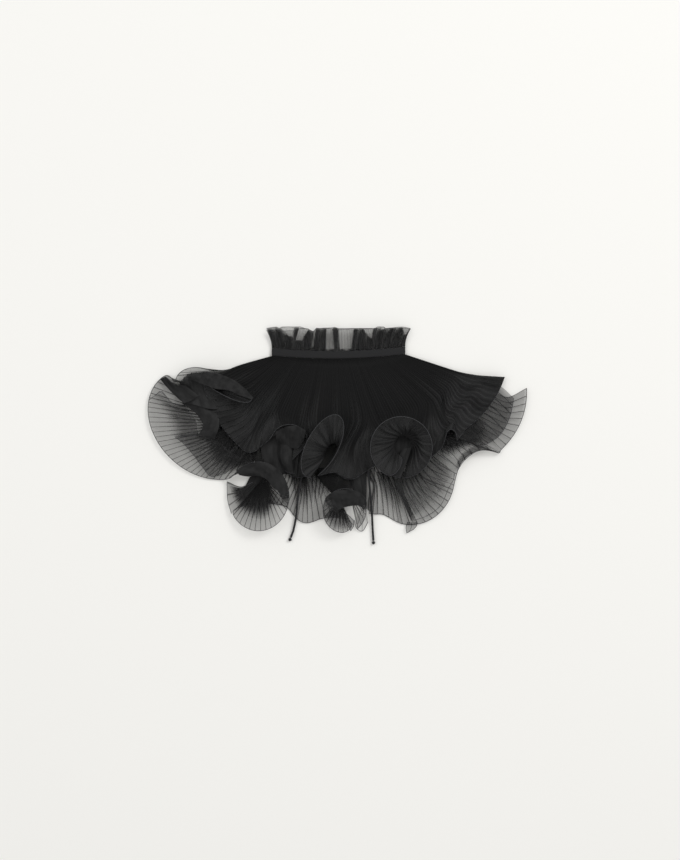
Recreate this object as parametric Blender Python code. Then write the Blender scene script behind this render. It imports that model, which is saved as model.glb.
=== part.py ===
"""A black pleated organza collar, laid flat: a stand-up neck frill, a plain band and a finely
pleated cape with a fluted hem, in two layers, with two thin ties between the layers.

The part lies on z = 0 with its neck towards +Y. Sizes in the tables are millimetres and degrees.
"""

import math
from collections import namedtuple

import bmesh
import bpy
from mathutils import Matrix, Vector

MM = 0.001

# Neck and band
NECK_HALF_WIDTH = 88.0
BAND_TOP = 109.0
BAND_SAG = 5.0
BAND_SIDE_RISE = 1.0
BAND_HEIGHT = 10.0
BAND_WALL = 1.4
BAND_COLUMNS = 20

# Neck frill: its height, how far its ends flare, and its waves
FRILL_HEIGHT = 25.0
FRILL_FLARE = 7.0
FRILL_WALL = 1.0
FRILL_WAVE = 1.3
FRILL_WAVES = 16
FRILL_COLUMNS_PER_WAVE = 5
FRILL_DIP = 2.0
FRILL_DIP_PACES = (0.37, 0.21)
FRILL_PHASE = 1.3
FRILL_ROWS = (0.0, 0.35, 0.7, 1.0)

# Cape wall and pleats
SEAM_GAP = 0.3
WALL = 1.1
PLEAT_RISE = 0.8
PLEAT_RISE_SHARE = 0.3
PLEAT_ROUNDING = 0.45
COLUMNS_PER_PLEAT = 2
BRIDGE_PULL = 0.6
HEM_SMOOTHING = 2
CURL_SPAN = 0.1
BACK_OPENING_SHARE = 0.494

# Height of each layer's underside over the surface it lies on
FRONT_SIDE_LIFT = 2.4
FRONT_MIDDLE_LIFT = 6.0

# Where a pleat's rows fall on its three stretches: neck to waist, waist to throat, throat to hem
FRONT_ROWS = ((0.0, 0.5), (0.0, 0.4, 0.75), (0.0, 0.18, 0.42, 0.7, 1.0))
BACK_ROWS = ((0.0, 0.5), (0.0, 0.55), (0.0, 0.25, 0.6, 1.0))

# Ties
TIE_DIAMETER = 2.4
TIE_STEP = 6.0
KNOT_RADIUS = 2.3
KNOT_LENGTH = 4.6
KNOT_ROUNDING = 0.8

# A bend of the hem: an arc of an ellipse seen from above, which turns clockwise in a flute and
# anticlockwise in a scallop. Its pleats are drawn together at a throat, a smaller ellipse.
#   pleats     in the arc            bridge    pleats from its end to the next bend
#   x, y       centre of the arc     long, short, tilt   radii, and turn of the long one
#   start, end angles of the arc     z0, z1, z2          height of the hem at start, middle, end
#   tx, ty, tz centre of the throat  share     size of the throat against the arc
#   turn       share of the arc's turn that the throat makes
#   lean       how much higher the throat is on the side towards the neck
#   curl       share of its size that the arc has at its start, where it curls inwards
Bend = namedtuple(
    "Bend",
    "name pleats bridge x y long short tilt start end z0 z1 z2 tx ty tz share turn lean curl",
)

FRONT_HEM = (
    Bend("tongue", 9, 2, -146, 56, 38, 12, -28, 172, -145, 10, 24, 11, -164, 60, 11, 0.42, 0.72, 8, 1),
    Bend("diagonal", 8, 1, -37, 89, 144, 144, 0, 201, 229, 5, 4, 6, -44, 76, 5, 0.7, 1, 0, 1),
    Bend("corner", 3, 2, -116, -16, 14, 14, 0, 235, 335, 9, 12, 9, -107, 6, 8, 0.6, 1, 0, 1),
    Bend("flap", 6, 2, -64, -12, 24, 20, 0, 175, -25, 10, 24, 13, -66, -8, 10, 0.35, 0.5, 4, 1),
    Bend("hanging fold", 3, 2, -54, -46, 18, 17, 0, 205, 305, 6, 6, 7, -50, -14, 5, 0.4, 1, 0, 1),
    Bend("cup", 15, 3, -21, -21, 46, 21, 62, 200, -146, 15, 31, 12, -11, -30, 14, 0.3, 0.72, 7, 1),
    Bend("fold", 3, 2, 15, -49, 17, 17, 0, 205, 325, 8, 7, 8, 18, -18, 7, 0.4, 1, 0, 1),
    Bend("spiral", 20, 3, 82, -23, 41, 41, 0, 289, -90, 10, 33, 8, 85, -19, 13, 0.28, 0.6, 7, 0.27),
    Bend("small flute", 3, 2, 148, -8, 9, 12, 0, 225, -40, 7, 15, 7, 146, 2, 8, 0.5, 0.5, 3, 1),
    Bend("right edge", 11, 0, 95, 110, 130, 130, 0, 304, 342, 6, 5, 6, 91, 102, 6, 0.74, 1, 0, 1),
)

BACK_LEFT_HEM = (
    Bend("shoulder scallop", 4, 2, -188, 64, 27, 19, 0, 62, 190, 8, 9, 8, -160, 72, 3, 0.4, 1, 0, 1),
    Bend("left lobe", 10, 3, -178, 8, 83, 63, 135, -12, 146, 0, 4, 0, -138, 10, 0, 0.38, 1, 0, 1),
    Bend("arch flute", 14, 5, -105, -87, 41, 46, 0, 145, -150, 16, 22, 6, -108, -62, 9, 0.25, 0.6, 7, 1),
    Bend("sheer scallop", 3, 2, -42, -98, 22, 26, 0, 195, 315, 0, 1, 0, -42, -66, 0, 0.4, 1, 0, 1),
    Bend("middle flute", 13, 0, 8, -106, 29, 30, 0, 305, -54, 7, 22, 4, 8, -88, 8, 0.3, 0.65, 5, 0.4),
)

BACK_RIGHT_HEM = (
    Bend("slit hem", 3, 1, 50, -70, 41, 41, 0, 256, 282, 0, 1, 0, 50, -52, 0, 0.5, 1, 0, 1),
    Bend("broad lobe", 10, 2, 95, -62, 58, 63, 0, 250, 350, 0, 2, 3, 80, -50, 0, 0.5, 1, 0, 1),
    Bend("side fold", 6, 2, 192, -60, 36, 34, 0, 150, 58, 5, 10, 6, 170, -38, 3, 0.6, 1, 2, 1),
    Bend("right lobe", 9, 0, 146, 50, 102, 102, 0, 312, 363, 1, 4, 3, 155, 40, 0, 0.66, 1, 0, 1),
)

# The waist of each layer, where its pleats still lie evenly: from its left side to its right
FRONT_WAIST = (
    (-135, 84), (-118, 48), (-85, 22), (-45, 12), (0, 10), (45, 14), (90, 22), (130, 38), (158, 77),
)
BACK_LEFT_WAIST = ((-138, 82), (-150, 45), (-132, 2), (-95, -28), (-50, -44), (0, -54), (23, -52))
BACK_RIGHT_WAIST = ((30, -52), (65, -40), (100, -26), (128, -5), (145, 30), (155, 76))

# Routes of the ties from the back band, between the layers and out under the hem, to the knots
TIE_LEFT_ROUTE = (
    (-14, 97, 3.0), (-18, 70, 3.6), (-26, 30, 3.6), (-36, -15, 3.6), (-46, -50, 3.6),
    (-53, -85, 3.6), (-56, -115, 3.6), (-60, -134, 2.8), (-63, -142, 2.6),
)
TIE_RIGHT_ROUTE = (
    (12, 97, 3.0), (15, 70, 3.6), (22, 30, 3.6), (30, -15, 3.8), (38, -50, 4.6),
    (42, -85, 4.8), (44, -110, 4.8), (45, -130, 3.0), (46, -146, 2.6),
)

# Look of each cloth: colour, roughness
ORGANZA_BLACK = ((0.011, 0.011, 0.011, 1.0), 0.6)
BAND_BLACK = ((0.02, 0.02, 0.02, 1.0), 0.8)
TIE_BLACK = ((0.008, 0.008, 0.009, 1.0), 0.45)


def clear_scene():
    """Remove whatever the file holds."""
    for obj in list(bpy.data.objects):
        bpy.data.objects.remove(obj, do_unlink=True)


def make_material(name, look):
    """A plain cloth material from (colour, roughness)."""
    colour, roughness = look
    material = bpy.data.materials.new(name)
    material.use_nodes = True
    shader = material.node_tree.nodes["Principled BSDF"]
    shader.inputs["Base Color"].default_value = colour
    shader.inputs["Roughness"].default_value = roughness
    return material


def add_object(name, mesh, material):
    """Put a mesh or curve into the scene as one piece of the collar."""
    obj = bpy.data.objects.new(name, mesh)
    mesh.materials.append(material)
    bpy.context.scene.collection.objects.link(obj)
    return obj


def neck_point(share):
    """A point of the band's upper edge; share runs from 0 at the left end to 1 at the right."""
    across = 2.0 * share - 1.0
    x = NECK_HALF_WIDTH * across
    y = BAND_TOP - BAND_SAG * (1.0 - across * across) + BAND_SIDE_RISE * across
    return Vector((x, y, 0.0))


def ellipse_arm(bend, angle):
    """From a bend's centre to its arc, at an angle measured from its long radius."""
    along = bend.long * math.cos(math.radians(angle))
    across = bend.short * math.sin(math.radians(angle))
    return Matrix.Rotation(math.radians(bend.tilt), 3, "Z") @ Vector((along, across, 0.0))


def curled(bend, share):
    """Size of a bend's arc at a share of the way along it, against its full size."""
    opened = min(1.0, share / CURL_SPAN)
    return bend.curl + (1.0 - bend.curl) * opened * opened * (3.0 - 2.0 * opened)


def bend_frame(bend, share, toward_neck):
    """(hem point, throat point) of a bend; share runs from 0 at its start to 1 at its end."""
    half = (bend.end - bend.start) / 2.0
    middle = bend.start + half
    turned = (2.0 * share - 1.0) * half
    hem_arm = ellipse_arm(bend, middle + turned) * curled(bend, share)
    throat_arm = ellipse_arm(bend, middle + turned * bend.turn)
    z = (
        bend.z0 * (1.0 - share) * (1.0 - 2.0 * share)
        + bend.z1 * 4.0 * share * (1.0 - share)
        + bend.z2 * share * (2.0 * share - 1.0)
    )
    hem = Vector((bend.x, bend.y, z)) + hem_arm
    leaning = bend.lean * throat_arm.dot(toward_neck) / max(bend.long, bend.short)
    throat = Vector((bend.tx, bend.ty, bend.tz + leaning)) + throat_arm * bend.share
    return hem, throat


def bridge_point(before, after, pull_out, pull_in, share):
    """A point of the smooth curve from one bend's end to the next one's start."""
    s2 = share * share
    s3 = s2 * share
    return (
        before * (2 * s3 - 3 * s2 + 1)
        + pull_out * (s3 - 2 * s2 + share)
        + after * (3 * s2 - 2 * s3)
        + pull_in * (s3 - s2)
    )


def hem_columns(bends, neck_from, neck_to):
    """The throat and hem point of each column of one layer, from left to right."""
    total = sum(bend.pleats + bend.bridge for bend in bends)
    done = 0
    arcs = []
    for bend in bends:
        middle = neck_from + (neck_to - neck_from) * (done + 0.5 * bend.pleats) / total
        away = neck_point(middle) - Vector((bend.tx, bend.ty, 0.0))
        steps = bend.pleats * COLUMNS_PER_PLEAT
        arcs.append([bend_frame(bend, k / steps, away.normalized()) for k in range(steps + 1)])
        done += bend.pleats + bend.bridge
    throats = []
    hems = []
    for index, bend in enumerate(bends):
        points = arcs[index]
        hems.extend(hem for hem, _ in points)
        throats.extend(throat for _, throat in points)
        if not bend.bridge:
            continue
        following = arcs[index + 1]
        steps = bend.bridge * COLUMNS_PER_PLEAT
        for line, which in ((hems, 0), (throats, 1)):
            before, after = points[-1][which], following[0][which]
            reach = BRIDGE_PULL * (after - before).length
            pull_out = (before - points[-2][which]).normalized() * reach
            pull_in = (following[1][which] - after).normalized() * reach
            line.extend(
                bridge_point(before, after, pull_out, pull_in, k / steps)
                for k in range(1, steps)
            )
    for line in (throats, hems):
        smooth_line(line, rounds=HEM_SMOOTHING)
    return throats, hems


def smooth_line(line, rounds):
    """Average each inner point with its neighbours."""
    for _ in range(rounds):
        old = list(line)
        for k in range(1, len(line) - 1):
            line[k] = old[k] * 0.5 + (old[k - 1] + old[k + 1]) * 0.25


def even_points(corners, count):
    """Points at even steps along a line through the corners, with its corners rounded."""
    corners = [Vector((x, y, 0.0)) for x, y in corners]
    lengths = [(b - a).length for a, b in zip(corners, corners[1:])]
    step = sum(lengths) / (count - 1)
    points = []
    for k in range(count):
        left = min(step * k, sum(lengths))
        index = 0
        while index < len(lengths) - 1 and left > lengths[index]:
            left -= lengths[index]
            index += 1
        points.append(corners[index].lerp(corners[index + 1], left / lengths[index]))
    smooth_line(points, rounds=count // 2)
    return points


def pleat_line(stops, rows):
    """The points of one pleat through its four stops: neck, waist, throat and hem."""
    legs = [b - a for a, b in zip(stops, stops[1:])]
    pulls = [legs[0]]
    for before, after in zip(legs, legs[1:]):
        bisector = before.normalized() + after.normalized()
        pulls.append(bisector * PLEAT_ROUNDING * min(before.length, after.length))
    pulls.append(legs[2])
    pulls[1].z = 0.0
    points = []
    for k, shares in enumerate(rows):
        points += [
            bridge_point(stops[k], stops[k + 1], pulls[k], pulls[k + 1], share)
            for share in shares
        ]
    return points


def layer_grid(bends, waist, neck_from, neck_to, lift, rows):
    """Columns of points of one cape layer's plain top, from the neck down."""
    throats, hems = hem_columns(bends, neck_from, neck_to)
    count = len(hems)
    waists = even_points(waist, count)
    up = Vector((0.0, 0.0, WALL))
    columns = []
    for k in range(count):
        share = neck_from + (neck_to - neck_from) * k / (count - 1)
        height = Vector((0.0, 0.0, lift(share)))
        neck = neck_point(share) - Vector((0.0, BAND_HEIGHT + SEAM_GAP, 0.0)) + height
        stops = (neck + up, waists[k] + height + up, throats[k] + up, hems[k] + up)
        columns.append(pleat_line(stops, rows))
    return columns


def grid_normals(columns):
    """The upward normal of each grid point."""
    normals = []
    last_column = len(columns) - 1
    for i, column in enumerate(columns):
        last_row = len(column) - 1
        row_normals = []
        for j in range(len(column)):
            du = columns[min(i + 1, last_column)][j] - columns[max(i - 1, 0)][j]
            dv = column[min(j + 1, last_row)] - column[max(j - 1, 0)]
            row_normals.append(dv.cross(du).normalized())
        normals.append(row_normals)
    return normals


def above_surface(point):
    """The point, lifted to the surface the collar lies on if it would be under it."""
    return Vector((point.x, point.y, max(0.0, point.z)))


def sheet_solid(name, columns, rises, wall, material):
    """A closed wall under a grid of points, whose top is raised by rises(column, row)."""
    normals = grid_normals(columns)
    mesh = bmesh.new()
    tops = []
    bottoms = []
    for i, column in enumerate(columns):
        tops.append(
            [
                mesh.verts.new((point + normals[i][j] * rises(i, j)) * MM)
                for j, point in enumerate(column)
            ]
        )
        bottoms.append(
            [
                mesh.verts.new(above_surface(point - normals[i][j] * wall) * MM)
                for j, point in enumerate(column)
            ]
        )
    last_column = len(columns) - 1
    last_row = len(columns[0]) - 1
    for i in range(last_column):
        for j in range(last_row):
            mesh.faces.new((tops[i][j], tops[i][j + 1], tops[i + 1][j + 1], tops[i + 1][j]))
            mesh.faces.new(
                (bottoms[i][j], bottoms[i + 1][j], bottoms[i + 1][j + 1], bottoms[i][j + 1])
            )
        mesh.faces.new((tops[i][0], tops[i + 1][0], bottoms[i + 1][0], bottoms[i][0]))
        mesh.faces.new(
            (
                tops[i + 1][last_row],
                tops[i][last_row],
                bottoms[i][last_row],
                bottoms[i + 1][last_row],
            )
        )
    for j in range(last_row):
        mesh.faces.new((tops[0][j + 1], tops[0][j], bottoms[0][j], bottoms[0][j + 1]))
        mesh.faces.new(
            (
                tops[last_column][j],
                tops[last_column][j + 1],
                bottoms[last_column][j + 1],
                bottoms[last_column][j],
            )
        )
    bmesh.ops.triangulate(mesh, faces=mesh.faces[:])
    data = bpy.data.meshes.new(name)
    mesh.to_mesh(data)
    mesh.free()
    data.shade_smooth()
    return add_object(name, data, material)


def cape_layer(name, bends, waist, neck_from, neck_to, lift, rows, material):
    """One pleated layer of the cape, from the band to its fluted hem."""
    columns = layer_grid(bends, waist, neck_from, neck_to, lift, rows)
    throat_row = len(rows[0]) + len(rows[1])

    def rise(i, j):
        """Pleats stand less where they are crowded, and least at the throat."""
        if i % COLUMNS_PER_PLEAT == 0:
            return 0.0
        room = (columns[i + 1][j] - columns[i - 1][j]).length
        height = min(PLEAT_RISE, PLEAT_RISE_SHARE * room)
        return height * PLEAT_RISE_SHARE if j == throat_row else height

    return sheet_solid(name, columns, rise, WALL, material)


def front_lift(across):
    """Height of the front layer, which bulges over the ties between the layers."""
    middle = 1.0 - (2.0 * across - 1.0) ** 2
    return FRONT_SIDE_LIFT + (FRONT_MIDDLE_LIFT - FRONT_SIDE_LIFT) * middle


def back_lift(across):
    """The back layer lies on the surface."""
    return 0.0


def neck_band(name, lift, material):
    """A plain strip between the frill and the pleats."""
    columns = []
    for k in range(BAND_COLUMNS + 1):
        share = k / BAND_COLUMNS
        top = neck_point(share) + Vector((0.0, 0.0, lift(share) + BAND_WALL))
        columns.append([top, top - Vector((0.0, BAND_HEIGHT, 0.0))])
    return sheet_solid(name, columns, lambda i, j: 0.0, BAND_WALL, material)


def neck_frill(name, lift, spread, phase, material):
    """A gathered strip that stands above the band; spread is how much higher its free edge lies."""
    count = FRILL_WAVES * FRILL_COLUMNS_PER_WAVE
    columns = []
    for k in range(count + 1):
        share = k / count
        foot = neck_point(share) + Vector((0.0, SEAM_GAP, lift(share) + FRILL_WALL))
        swing = 2.0 * math.pi * FRILL_WAVES * share + phase
        slow, slower = (pace * swing for pace in FRILL_DIP_PACES)
        dip = FRILL_DIP * math.sin(slow) * math.sin(slower + phase)
        column = []
        for row in reversed(FRILL_ROWS):
            side = FRILL_FLARE * (2.0 * share - 1.0) * row * row
            wave = FRILL_WAVE * (1.0 - math.cos(swing)) * row
            height = (FRILL_HEIGHT + dip) * row
            column.append(foot + Vector((side, height, wave + spread * row)))
        columns.append(column)
    return sheet_solid(name, columns, lambda i, j: 0.0, FRILL_WALL, material)


def smooth_route(stops, step):
    """Points at about one step along a smooth curve through the stops."""
    stops = [Vector(stop) for stop in stops]
    padded = [stops[0] * 2.0 - stops[1]] + stops + [stops[-1] * 2.0 - stops[-2]]
    points = []
    for k in range(1, len(padded) - 2):
        before, start, end, after = padded[k - 1 : k + 3]
        count = max(1, round((end - start).length / step))
        points += [
            bridge_point(start, end, (end - before) * 0.5, (after - start) * 0.5, n / count)
            for n in range(count)
        ]
    points.append(stops[-1])
    return points


def tie_cord(name, points, material):
    """A thin cord with closed ends along the points."""
    curve = bpy.data.curves.new(name, "CURVE")
    curve.dimensions = "3D"
    curve.bevel_depth = TIE_DIAMETER / 2 * MM
    curve.bevel_resolution = 2
    curve.use_fill_caps = True
    spline = curve.splines.new("POLY")
    spline.points.add(len(points) - 1)
    for target, point in zip(spline.points, points):
        target.co = (*(point * MM), 1.0)
    return add_object(name, curve, material)


def tie_knot(name, points, material):
    """A small barrel-shaped knot just past the end of a tie."""
    along = (points[-1] - points[-2]).normalized()
    centre = points[-1] + along * (SEAM_GAP + KNOT_LENGTH / 2)
    mesh = bmesh.new()
    bmesh.ops.create_cone(
        mesh,
        cap_ends=True,
        segments=10,
        radius1=KNOT_RADIUS * MM,
        radius2=KNOT_RADIUS * MM,
        depth=KNOT_LENGTH * MM,
    )
    rims = [edge for edge in mesh.edges if all(len(f.verts) != 4 for f in edge.link_faces[:1])]
    bmesh.ops.bevel(
        mesh,
        geom=rims,
        offset=KNOT_ROUNDING * MM,
        segments=2,
        profile=0.5,
        affect="EDGES",
    )
    data = bpy.data.meshes.new(name)
    mesh.to_mesh(data)
    mesh.free()
    data.shade_smooth()
    knot = add_object(name, data, material)
    knot.location = centre * MM
    knot.rotation_mode = "QUATERNION"
    knot.rotation_quaternion = along.to_track_quat("Z", "Y")
    return knot


def main():
    clear_scene()
    organza = make_material("pleated_organza", ORGANZA_BLACK)
    band = make_material("satin_band", BAND_BLACK)
    cord = make_material("tie_cord", TIE_BLACK)

    left_end = BACK_OPENING_SHARE
    right_start = 1.0 - BACK_OPENING_SHARE
    layers = (
        ("cape_front", FRONT_HEM, FRONT_WAIST, 0.0, 1.0, front_lift, FRONT_ROWS),
        ("cape_back_left", BACK_LEFT_HEM, BACK_LEFT_WAIST, 0.0, left_end, back_lift, BACK_ROWS),
        ("cape_back_right", BACK_RIGHT_HEM, BACK_RIGHT_WAIST, right_start, 1.0, back_lift, BACK_ROWS),
    )
    for layer in layers:
        cape_layer(*layer, organza)
    neck_band("band_front", front_lift, band)
    neck_band("band_back", back_lift, band)
    clearance = 2.0 * FRILL_WAVE + SEAM_GAP
    neck_frill("frill_front", front_lift, clearance, FRILL_PHASE, organza)
    neck_frill("frill_back", back_lift, 0.0, 0.0, organza)
    for side, route in (("left", TIE_LEFT_ROUTE), ("right", TIE_RIGHT_ROUTE)):
        points = smooth_route(route, TIE_STEP)
        tie_cord(f"tie_{side}", points, cord)
        tie_knot(f"knot_{side}", points, cord)


main()
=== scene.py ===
"""Looks of a sheer black pleated collar, laid flat: neck frill, band, pleated cape and ties.

Every piece repeats the named sizes of the solids, in millimetres, and lies on their form: the
tables of bends give the hem of each layer, and finer pleats are drawn between them.
"""

import logging
import math
from dataclasses import dataclass, field
from enum import Enum
from typing import Callable

import bmesh
import bpy
from mathutils import Matrix, Vector, kdtree


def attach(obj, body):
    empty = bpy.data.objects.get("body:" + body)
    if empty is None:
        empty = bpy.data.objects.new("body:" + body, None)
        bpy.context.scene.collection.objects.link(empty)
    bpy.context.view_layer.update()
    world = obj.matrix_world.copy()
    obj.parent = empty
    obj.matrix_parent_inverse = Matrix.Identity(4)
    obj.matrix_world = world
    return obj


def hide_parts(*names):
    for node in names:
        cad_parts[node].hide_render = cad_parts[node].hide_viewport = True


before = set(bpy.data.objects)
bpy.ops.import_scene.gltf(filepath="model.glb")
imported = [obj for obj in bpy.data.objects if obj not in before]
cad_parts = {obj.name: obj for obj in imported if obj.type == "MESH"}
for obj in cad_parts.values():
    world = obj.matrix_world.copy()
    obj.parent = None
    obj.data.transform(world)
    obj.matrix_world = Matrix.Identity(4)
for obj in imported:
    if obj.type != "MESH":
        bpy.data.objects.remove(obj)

LOG = logging.getLogger("collar")
MM = 0.001
SEAM_GAP = 0.3
FRONT_LIFT = 2.4
FRONT_BULGE = 3.6
FOLDED_LAYERS = 3.0
# A layer fans out from a narrow neck, so its area is a small share of its width times its length.
# The width is narrowed until the share is at least this.
LEAST_CUT_SHARE = 0.32


class Slot(Enum):
    """The record's material slots."""

    ORGANZA = "pleated_organza"
    BAND = "satin_band"
    CORD = "tie_cord"


class Side(Enum):
    """The sides of a loose fold that may have a hem."""

    FIRST_RIB = "first rib"
    HEM = "hem"
    LAST_RIB = "last rib"


def srgb(code: str) -> tuple[float, float, float, float]:
    """Turn an sRGB hex colour into linear colour.

    Args:
        code: six hex digits.

    Returns:
        Linear red, green, blue and an alpha of 1.
    """
    channels = [int(code[k : k + 2], 16) / 255.0 for k in (0, 2, 4)]
    linear = [c / 12.92 if c <= 0.04045 else ((c + 0.055) / 1.055) ** 2.4 for c in channels]
    return (linear[0], linear[1], linear[2], 1.0)


def add_node(
    tree: bpy.types.NodeTree,
    kind: str,
    values: dict | None = None,
    links: dict | None = None,
    **settings: object,
) -> bpy.types.Node:
    """Add one shader node.

    Args:
        tree: the material's node tree.
        kind: the node's type name.
        values: socket name or number to a fixed value.
        links: socket name or number to the output socket that feeds it.
        settings: the node's own properties.

    Returns:
        The new node.
    """
    node = tree.nodes.new(kind)
    for name, value in settings.items():
        setattr(node, name, value)
    for socket, value in (values or {}).items():
        node.inputs[socket].default_value = value
    for socket, source in (links or {}).items():
        tree.links.new(source, node.inputs[socket])
    return node


@dataclass(frozen=True)
class Organza:
    """Stiff sheer organza, plain woven of fine hard threads and pressed into knife pleats.

    It has hardly any gloss. One thickness shows what is behind it, and folds of it look dense.
    Shade is painted into its creases and closed pleats as a darker colour.
    Its threads are about 0.1 mm apart, and the weave is drawn coarser here so that it shows.

    The mesh brings "pleat", which counts the pleats; "fold", the share of a pleat that is folded
    into three thicknesses; "layers", how many thicknesses lie on each other besides; and "down",
    the way along the pleat.
    """

    name: str = "black_organza"
    colour: str = "2B2B2B"
    # The crease colour is painted shade, put in the creases and closed pleats; colour is the cloth
    # on an open crest.
    crease_shade_colour: str = "0B0B0B"
    sheen_colour: str = "9A9AA0"
    roughness: float = 0.5
    specular: float = 0.1
    sheen: float = 0.05
    sheen_roughness: float = 0.4
    face_veil: float = 0.22
    line_blur: float = 0.05
    closed_gain: float = 1.05
    crease_pace: float = 0.37
    crease_scale: float = 1.6
    crease_from: float = 0.36
    crest_from: float = 0.6
    crease_light: float = 0.4
    open_fold: float = 0.35
    closed_light: float = 0.27
    thread_mm: float = 0.5
    weave_bump: float = 0.12
    weave_depth_mm: float = 0.1

    def material(self) -> bpy.types.Material:
        """Make the material.

        Returns:
            The organza with its pleat lines, painted shade in its creases and closed pleats, weave
            and transparency.
        """
        made = bpy.data.materials.new(self.name)
        made.use_nodes = True
        tree = made.node_tree
        shader = tree.nodes["Principled BSDF"]
        veil = self.veil(tree)
        crease_shade = self.crease_shade(tree)
        # Painted shade: the base colour goes to the crease colour in creases and closed pleats.
        colour = add_node(
            tree,
            "ShaderNodeMix",
            {6: srgb(self.crease_shade_colour), 7: srgb(self.colour)},
            {0: crease_shade},
            data_type="RGBA",
        )
        place = add_node(tree, "ShaderNodeTexCoord")
        weave = add_node(
            tree,
            "ShaderNodeTexNoise",
            {"Scale": 1.0 / (self.thread_mm * MM), "Detail": 1.0},
            {"Vector": place.outputs["Object"]},
        )
        bump = add_node(
            tree,
            "ShaderNodeBump",
            {"Strength": self.weave_bump, "Distance": self.weave_depth_mm * MM},
            {"Height": weave.outputs["Fac"]},
        )
        shader.inputs["Roughness"].default_value = self.roughness
        shader.inputs["Specular IOR Level"].default_value = self.specular
        shader.inputs["Sheen Weight"].default_value = self.sheen
        shader.inputs["Sheen Tint"].default_value = srgb(self.sheen_colour)
        shader.inputs["Sheen Roughness"].default_value = self.sheen_roughness
        tree.links.new(colour.outputs[2], shader.inputs["Base Color"])
        tree.links.new(veil, shader.inputs["Alpha"])
        tree.links.new(bump.outputs[0], shader.inputs["Normal"])
        return made

    def veil(self, tree: bpy.types.NodeTree) -> bpy.types.NodeSocket:
        """How much of what is behind the cloth it hides.

        Args:
            tree: the material's node tree.

        Returns:
            The socket that feeds the alpha.
        """
        pleats = add_node(tree, "ShaderNodeAttribute", attribute_name="pleat")
        folded = add_node(tree, "ShaderNodeAttribute", attribute_name="fold")
        dense = add_node(tree, "ShaderNodeAttribute", attribute_name="layers")
        phase = add_node(
            tree, "ShaderNodeMath", links={0: pleats.outputs["Fac"]}, operation="FRACT"
        )
        unfolded = add_node(
            tree, "ShaderNodeMath", {0: 1.0}, {1: folded.outputs["Fac"]}, operation="SUBTRACT"
        )
        past = add_node(
            tree,
            "ShaderNodeMath",
            links={0: phase.outputs[0], 1: unfolded.outputs[0]},
            operation="SUBTRACT",
        )
        line = add_node(
            tree,
            "ShaderNodeMapRange",
            {
                "From Min": -self.line_blur,
                "From Max": self.line_blur,
                "To Min": 1.0,
                "To Max": FOLDED_LAYERS,
            },
            {"Value": past.outputs[0]},
        )
        layers = add_node(
            tree,
            "ShaderNodeMath",
            links={0: line.outputs[0], 1: dense.outputs["Fac"]},
            operation="MULTIPLY",
        )
        through = add_node(
            tree,
            "ShaderNodeMath",
            {0: 1.0 - self.face_veil},
            {1: layers.outputs[0]},
            operation="POWER",
        )
        hidden = add_node(
            tree, "ShaderNodeMath", {0: 1.0}, {1: through.outputs[0]}, operation="SUBTRACT"
        )
        closed = add_node(
            tree,
            "ShaderNodeMath",
            {1: self.closed_gain},
            {0: hidden.outputs[0]},
            operation="MULTIPLY",
            use_clamp=True,
        )
        return closed.outputs[0]

    def crease_shade(self, tree: bpy.types.NodeTree) -> bpy.types.NodeSocket:
        """Painted shade: uneven creases along the pleats are painted darker, and darkest where the
        pleats are closed.

        Args:
            tree: the material's node tree.

        Returns:
            The socket with 0 in a crease's painted shade and 1 on a crest.
        """
        pleats = add_node(tree, "ShaderNodeAttribute", attribute_name="pleat")
        down = add_node(tree, "ShaderNodeAttribute", attribute_name="down")
        across = add_node(
            tree,
            "ShaderNodeMath",
            {1: self.crease_pace},
            {0: pleats.outputs["Fac"]},
            operation="MULTIPLY",
        )
        spot = add_node(
            tree,
            "ShaderNodeCombineXYZ",
            links={"X": across.outputs[0], "Y": down.outputs["Fac"]},
        )
        noise = add_node(
            tree,
            "ShaderNodeTexNoise",
            {"Scale": self.crease_scale, "Detail": 3.0, "Roughness": 0.6},
            {"Vector": spot.outputs[0]},
        )
        crests = add_node(
            tree,
            "ShaderNodeMapRange",
            {
                "From Min": self.crease_from,
                "From Max": self.crest_from,
                "To Min": self.crease_light,
                "To Max": 1.0,
            },
            {"Value": noise.outputs["Fac"]},
        )
        # Painted shade: closed pleats are painted darker than open ones.
        folded = add_node(tree, "ShaderNodeAttribute", attribute_name="fold")
        openness = add_node(
            tree,
            "ShaderNodeMapRange",
            {
                "From Min": self.open_fold,
                "From Max": 1.0,
                "To Min": 1.0,
                "To Max": self.closed_light,
            },
            {"Value": folded.outputs["Fac"]},
        )
        light = add_node(
            tree,
            "ShaderNodeMath",
            links={0: crests.outputs[0], 1: openness.outputs[0]},
            operation="MULTIPLY",
        )
        return light.outputs[0]


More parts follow.
